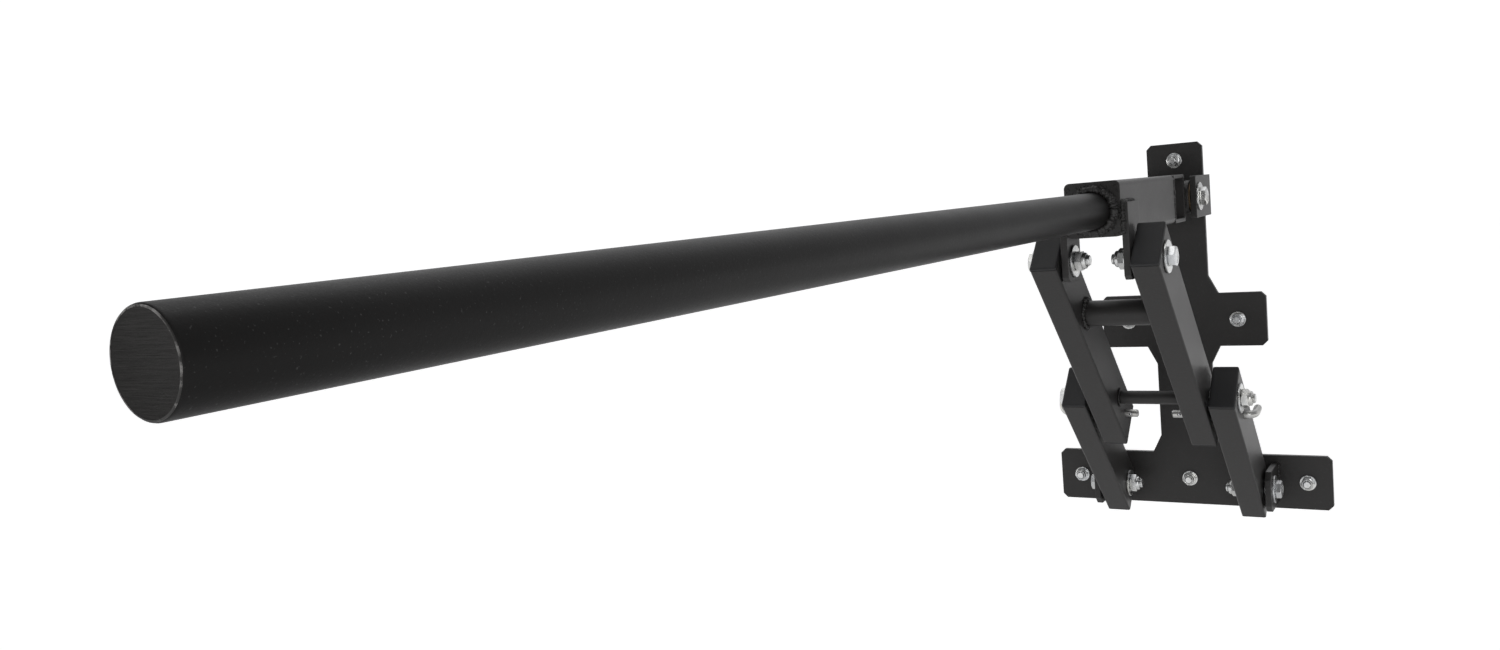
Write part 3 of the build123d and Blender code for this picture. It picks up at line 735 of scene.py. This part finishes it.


# --- Bar ----------------------------------------------------------------------------------------------
# Solid round bar, the grip itself. It is welded to the arm's end plate and sawn square at its free end,
# where the saw's marks and a bright burr show through a thin coat.
# Painted shade: the bar has the same black powder coat as the other steel, in a darker and less glossy copy.
grip_coat = powder_coat("grip_coat", shade=0.005, roughness=0.46, texture=0.55, edge_light=0.3, gloss=0.14)
bar_low, bar_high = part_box("bar")
bar_radius = (bar_high.z - bar_low.z) / 2
bar_axis_z = (bar_high.z + bar_low.z) / 2
bar_length = bar_high.y - bar_low.y
burr = 0.0005
rings = [(0, 0), (bar_radius, 0)]
rings += [(bar_radius, bar_length * share / 12) for share in range(1, 12)]
rings += [
    (bar_radius, bar_length - 0.0012), (bar_radius - 0.0002, bar_length - burr), (bar_radius - 0.0009, bar_length)]
grip = ringed("grip_bar", rings, grip_coat, 128, closed=False)
end_rings = [
    (0, bar_length - 0.0008), (bar_radius - 0.0011, bar_length - 0.0008),
    (bar_radius - 0.0009, bar_length + 0.00001), (bar_radius - 0.0013, bar_length - 0.00005),
    (0, bar_length - 0.00005)]

sawn = Finish("sawn_end")
slanted = {"Vector": sawn.place, "Rotation": (0, radians(62), 0), "Scale": (1, 1, 30)}
slant = sawn.add("ShaderNodeMapping", {}, slanted)
stroke = sawn.add("ShaderNodeTexNoise", {}, {"Vector": slant, "Scale": 60, "Detail": 5.0, "Roughness": 0.7})
patch = sawn.grain(90, 3.0)
scored = (stroke * 2.4 - 0.75).clamped() * (patch * 0.8 + 0.2)
sawn_end = sawn.surface(
    Base_Color=sawn.mixed(scored, (0.006, 0.0055, 0.005, 1), (0.024, 0.022, 0.021, 1)), Metallic=0.1,
    Roughness=(0.62 - stroke * 0.25).clamped(0.2, 0.8), Specular_IOR_Level=0.18,
    Normal=sawn.bumped(stroke, 0.5, 0.0002))
end_face = ringed("sawn_face", end_rings, sawn_end, 128)
rim = Finish("burr_steel")
rim_grain = (rim.grain(95, 5.0, 0.75) * 5.0 - 2.5).clamped()
burr_steel = rim.surface(
    Base_Color=rim.mixed(rim_grain, (0.014, 0.013, 0.012, 1), (0.42, 0.41, 0.40, 1)), Metallic=rim_grain * 0.8,
    Roughness=0.5 - rim_grain * 0.15)
rim_rings = [
    (bar_radius - 0.0011, bar_length - 0.0006), (bar_radius - 0.00035, bar_length - 0.0006),
    (bar_radius - 0.0006, bar_length + 0.00002), (bar_radius - 0.0011, bar_length + 0.00004)]
rim_face = ringed("bar_rim", rim_rings, burr_steel, 128)
for piece in (grip, end_face, rim_face):
    piece.data.transform(Matrix.Translation((0, bar_high.y, bar_axis_z)) @ Matrix.Rotation(pi / 2, 4, "X"))
    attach(piece, "arm")
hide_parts("bar")

circle = [2 * pi * step / 48 for step in range(49)]


def round_bar(gap, ahead):
    """A run round the bar at a gap from it, ahead of the end plate."""
    out = bar_radius + gap
    return [(out * cos(angle), bar_high.y - ahead, bar_axis_z + out * sin(angle)) for angle in circle]


weld("bar_root_weld", [round_bar(0.0024, 0.0022)], 0.0078, "arm", 41, ["bar_weld"], 0.0021)
weld("bar_root_toe", [round_bar(0.0050, 0.0010)], 0.0046, "arm", 42, (), 0.0017)

spatter = random.Random(5)
flecks = []
fleck_count, margin, clear_of_bar = 46, 0.002, 0.006
plate_low, plate_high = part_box("arm_end_plate")
while len(flecks) < fleck_count:
    x = spatter.uniform(plate_low.x + margin, plate_high.x - margin)
    z = spatter.uniform(plate_low.z + margin, plate_high.z - margin)
    if sqrt(x * x + (z - bar_axis_z) ** 2) > bar_radius + clear_of_bar:
        flecks.append((Vector((x, plate_low.y, z)), outward))
fleck_rings = [(0, -0.0003), (0.0006, -0.0002), (0.0008, 0.0001), (0.0005, 0.0005), (0, 0.0006)]
fleck = ringed("spatter_pattern", fleck_rings, steps=12, closed=False)
fit("weld_spatter", fleck, flecks, weld_coat, "arm", seed=6)


# --- Links --------------------------------------------------------------------------------------------
# Two pairs of 50 x 25 mm tube make the strut. Black plastic plugs close their ends, and sleeves inside
# keep the bolts from crushing them.
coat_node(["upper_link_left", "upper_link_right", "lower_link_left", "lower_link_right"], steel_coat)
coat_node(["upper_link_sleeves", "lower_link_sleeves"], steel_coat)

plastic = Finish("plug_plastic")
plug_round, plug_edge = plastic.edges(0.0009)
pore = plastic.grain(2200, 2.0)
scuff = (plastic.grain(160, 5.0, 0.7, (1, 1, 6)) * 3.0 - 1.8).clamped()
# Painted highlight: the plug's edges are lightened all round, mixed with real stretched scuffs.
edge_sheen_and_scuff = (plug_edge * 2.5).clamped() * 0.6 + scuff * 0.2
plug_plastic = plastic.surface(
    Base_Color=plastic.mixed(edge_sheen_and_scuff, (0.009, 0.009, 0.010, 1), (0.075, 0.075, 0.075, 1)),
    Roughness=(0.56 + pore * 0.15 - scuff * 0.1).clamped(),
    Normal=plastic.bumped(pore + scuff * 0.5, 0.35, 0.00015, plug_round))

strut_way = Vector((0, tab_pivot.y - link_pivot.y, tab_pivot.z - link_pivot.z)).normalized()
depth_way = Vector((1, 0, 0)).cross(strut_way)
plug_rim, tube_corner, link_half_depth = 0.003, 0.002, 0.025
link_half_width = (upper_outer - upper_inner) / 2


def outward_faces(piece):
    """Turn every face of a closed piece outwards."""
    work = bmesh.new()
    work.from_mesh(piece.data)
    bmesh.ops.recalc_face_normals(work, faces=work.faces)
    work.to_mesh(piece.data)
    work.free()


def rounded_outline(half_width, half_depth, radius, steps=7):
    """Points of a rectangle with rounded corners, in order."""
    outline = []
    for quarter, (a, b) in enumerate(((1, 1), (-1, 1), (-1, -1), (1, -1))):
        middle_a, middle_b = a * (half_width - radius), b * (half_depth - radius)
        for step in range(steps + 1):
            angle = pi / 2 * (quarter + step / steps)
            outline.append((middle_a + radius * cos(angle), middle_b + radius * sin(angle)))
    return outline


def plugs(name, node, middle_x, body):
    """Moulded caps on both ends of both links: a seam against the tube, a soft rim and a face that dips."""
    along = [(vertex.co - link_pivot).dot(strut_way) for vertex in nodes[node].data.vertices]
    profile = (
        (0.0011, -0.0004), (0.0007, 0.0001), (0.0002, 0.0006), (0.0, 0.0009), (0.0, plug_rim - 0.0012),
        (0.0003, plug_rim - 0.0005), (0.0009, plug_rim - 0.0001), (0.0016, plug_rim),
        (0.0040, plug_rim - 0.0001), (0.0080, plug_rim - 0.0004))
    points, faces = [], []
    for x in (-middle_x, middle_x):
        for sign, end in ((1, max(along)), (-1, min(along))):
            first = len(points)
            for inset, height in profile:
                reach_in = max(tube_corner - inset, 0.0009)
                for a, b in rounded_outline(link_half_width - inset, link_half_depth - inset, reach_in):
                    place = link_pivot + strut_way * (end + sign * (height - plug_rim)) + depth_way * b
                    points.append(Vector((x + a * sign, place.y, place.z)))
            count = (len(points) - first) // len(profile)
            for row in range(len(profile) - 1):
                for step in range(count):
                    after = (step + 1) % count
                    low, high = first + row * count, first + (row + 1) * count
                    faces.append([low + step, low + after, high + after, high + step])
            faces.append([first + (len(profile) - 1) * count + step for step in range(count)])
            faces.append([first + step for step in range(count)][::-1])
    piece = mesh_piece(name, points, faces, plug_plastic, radians(40))
    outward_faces(piece)
    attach(piece, body)
    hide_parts(node)


plugs("upper_link_caps", "upper_link_plugs", (upper_inner + upper_outer) / 2, "upper_links")
plugs("lower_link_caps", "lower_link_plugs", (lower_inner + lower_outer) / 2, "lower_links")


# --- Tubes between the upper links --------------------------------------------------------------------
# A 25 mm tube is welded across the upper links to keep them in line. A thin spacer tube turns on the
# middle axle, with a washer at each end.
cross_radius, bead_out, bead_in = 0.0125, 0.0012, 0.0006
cross_bore, cross_soft = 0.0095, 0.0005
round_tube(
    "cross_tube_round", "cross_tube", cross_radius, cross_bore, cross_soft, steel_coat, "upper_links")
cross_low, cross_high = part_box("cross_tube")
cross_centre = (cross_low + cross_high) / 2
out = cross_radius + bead_out
cross_runs = [
    [(x, cross_centre.y + out * cos(angle), cross_centre.z + out * sin(angle)) for angle in circle]
    for x in (cross_low.x + bead_in, cross_high.x - bead_in)]
weld("cross_tube_welds", cross_runs, 0.0050, "upper_links", 51)
round_tube("spacer_tube_round", "spacer_tube", 0.007, 0.0055, 0.0003, steel_coat, "upper_links")


# --- Middle axle --------------------------------------------------------------------------------------
# The M10 bolt that the two pairs of links turn on, with its washers and lock nut. It is parted in the gaps
# between the links: its middle goes with the upper links and its ends with the lower ones.
axle_low, axle_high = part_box("axle")
axle_pivot = (axle_low + axle_high) / 2
spacer_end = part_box("spacer_tube")[1].x
shank = 0.0049
axle_rings = [(0, axle_low.x), (shank, axle_low.x), (shank, axle_high.x), (0, axle_high.x)]
axle_rod = ringed("axle_rod", axle_rings, bright_zinc, 48, closed=False)
axle_rod.data.transform(Matrix.Translation((0, axle_pivot.y, axle_pivot.z)) @ Matrix.Rotation(pi / 2, 4, "Y"))
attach(axle_rod, "upper_links")
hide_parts("axle")
fit("spacer_washers_painted", washer("spacer_washer_pattern", **plain, thick=upper_inner - spacer_end),
    across(spacer_end, axle_pivot), weld_coat, "upper_links", ["spacer_washers"])
fit("upper_spacers_plated", washer("upper_spacer_pattern", **plain, thick=axle_high.x - upper_outer),
    across(upper_outer, axle_pivot), bright_zinc, "upper_links", ["upper_link_spacers"])
axle_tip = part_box("axle_ends")[1].x
axle_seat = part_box("axle_nut")[0].x
axle_cut = axle_high.x + clearance
stub = threaded_rod("axle_stub_pattern", m10_radius, m10_pitch, axle_cut, axle_tip, axle_seat, 0.001)
fit("axle_right_end", stub, across(0, axle_pivot, False), bright_zinc, "lower_links", seed=2)
head_place = across(axle_seat, axle_pivot)[1:]
fit("axle_head_end", hex_bolt("axle_head_pattern", axle_seat - axle_cut, 0.0), head_place,
    bright_zinc, "lower_links", ["axle_ends"], seed=8)
fit("axle_washers_plated", washer("axle_washer_pattern", **fender, thick=axle_seat - lower_outer),
    across(lower_outer, axle_pivot), bright_zinc, "lower_links", ["axle_washers"])
fit("lower_spacers_plated", washer("lower_spacer_pattern", **plain, thick=lower_inner - axle_cut),
    across(axle_cut, axle_pivot), bright_zinc, "lower_links")
axle_nut_place = across(axle_seat, axle_pivot, False)
fit("axle_nut_plated", lock_nut("axle_nut_pattern", **m10_lock_nut), axle_nut_place,
    bright_zinc, "lower_links", ["axle_nut"], seed=12)
fit("axle_nut_ring", nylon_ring("axle_ring_pattern", **m10_lock_nut), axle_nut_place,
    nut_nylon, "lower_links")


# --- Lock pins ----------------------------------------------------------------------------------------
# 8 mm rod, bent over as a handle, pushed through both links on each side. A sprung ball near the tip
# stops it from working out. The handle goes with the lower link, and the nose follows it.
pin_zinc = zinc_plate("pin_zinc", (0.55, 0.55, 0.54, 1), 0.36, 0.35)
ball_steel = zinc_plate("ball_steel_polished", (0.80, 0.80, 0.82, 1), 0.16, 0.1)


def bent_rod(name, path, radius, soft, finish):
    """A round rod along a path that lies in one plane, with rounded tips."""
    points = [Vector(point) for point in path]
    bows = (pi / 2, 1.2, 0.8, 0.4, 0)
    tips = [(soft * (1 - sin(bow)), radius - soft * (1 - cos(bow))) for bow in bows]
    ways = [(b - a).normalized() for a, b in zip(points, points[1:])]
    ways = [ways[0]] + [(a + b).normalized() for a, b in zip(ways, ways[1:])] + [ways[-1]]
    across_plane = Vector((1, 0, 0)).cross(points[-1] - points[0]).normalized()
    sections = [(points[0] + ways[0] * gap, ways[0], size) for gap, size in tips]
    sections += [(point, way, radius) for point, way in zip(points[1:-1], ways[1:-1])]
    sections += [(points[-1] - ways[-1] * gap, ways[-1], size) for gap, size in reversed(tips)]
    steps = 40
    corners, faces = [], []
    for point, way, size in sections:
        other = way.cross(across_plane)
        for step in range(steps):
            angle = 2 * pi * step / steps
            corners.append(point + (across_plane * cos(angle) + other * sin(angle)) * size)
    for row in range(len(sections) - 1):
        for step in range(steps):
            after = (step + 1) % steps
            low, high = row * steps, (row + 1) * steps
            faces.append([low + step, low + after, high + after, high + step])
    faces.append(list(range(steps))[::-1])
    last = (len(sections) - 1) * steps
    faces.append([last + step for step in range(steps)])
    return mesh_piece(name, corners, faces, finish, radians(60))


pin_radius, pin_bend, pin_arm, pin_soft, ball_radius = 0.004, 0.008, 0.013, 0.0028, 0.00175
ball_turns = [pi * step / 16 for step in range(1, 16)]
ball_rings = [(0, -ball_radius)] + [(ball_radius * sin(turn), -ball_radius * cos(turn)) for turn in ball_turns]
ball_rings.append((0, ball_radius))
for side, name, turn_up in ((1, "right", radians(12)), (-1, "left", radians(75))):
    nose_low, nose_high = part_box("lock_nose_" + name)
    pin_axis = (nose_low + nose_high) / 2
    handle_way = Vector((0, cos(turn_up), sin(turn_up)))
    foot = Vector((side * axle_cut, pin_axis.y, pin_axis.z))
    along = Vector((side, 0, 0))
    bend_x = outer_ends("lock_pin_" + name) - pin_radius
    bend_start = Vector((side * (bend_x - pin_bend), pin_axis.y, pin_axis.z))
    path = [foot, bend_start]
    for step in range(1, 13):
        angle = pi / 2 * step / 12
        path.append(bend_start + along * pin_bend * sin(angle) + handle_way * pin_bend * (1 - cos(angle)))
    path.append(path[-1] + handle_way * pin_arm)
    handle = bent_rod("lock_pin_handle_" + name, path, pin_radius, pin_soft, pin_zinc)
    outward_faces(handle)
    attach(handle, "lock_pin_" + name)
    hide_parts("lock_pin_" + name)
    coat_node(["lock_nose_" + name, "detent_spring_" + name], pin_zinc)
    ball_low, ball_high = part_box("detent_ball_" + name)
    ball = ringed("detent_ball_round_" + name, ball_rings, ball_steel, 32, closed=False)
    ball.data.transform(Matrix.Translation((ball_low + ball_high) / 2))
    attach(ball, "lock_nose_" + name)
    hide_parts("detent_ball_" + name)
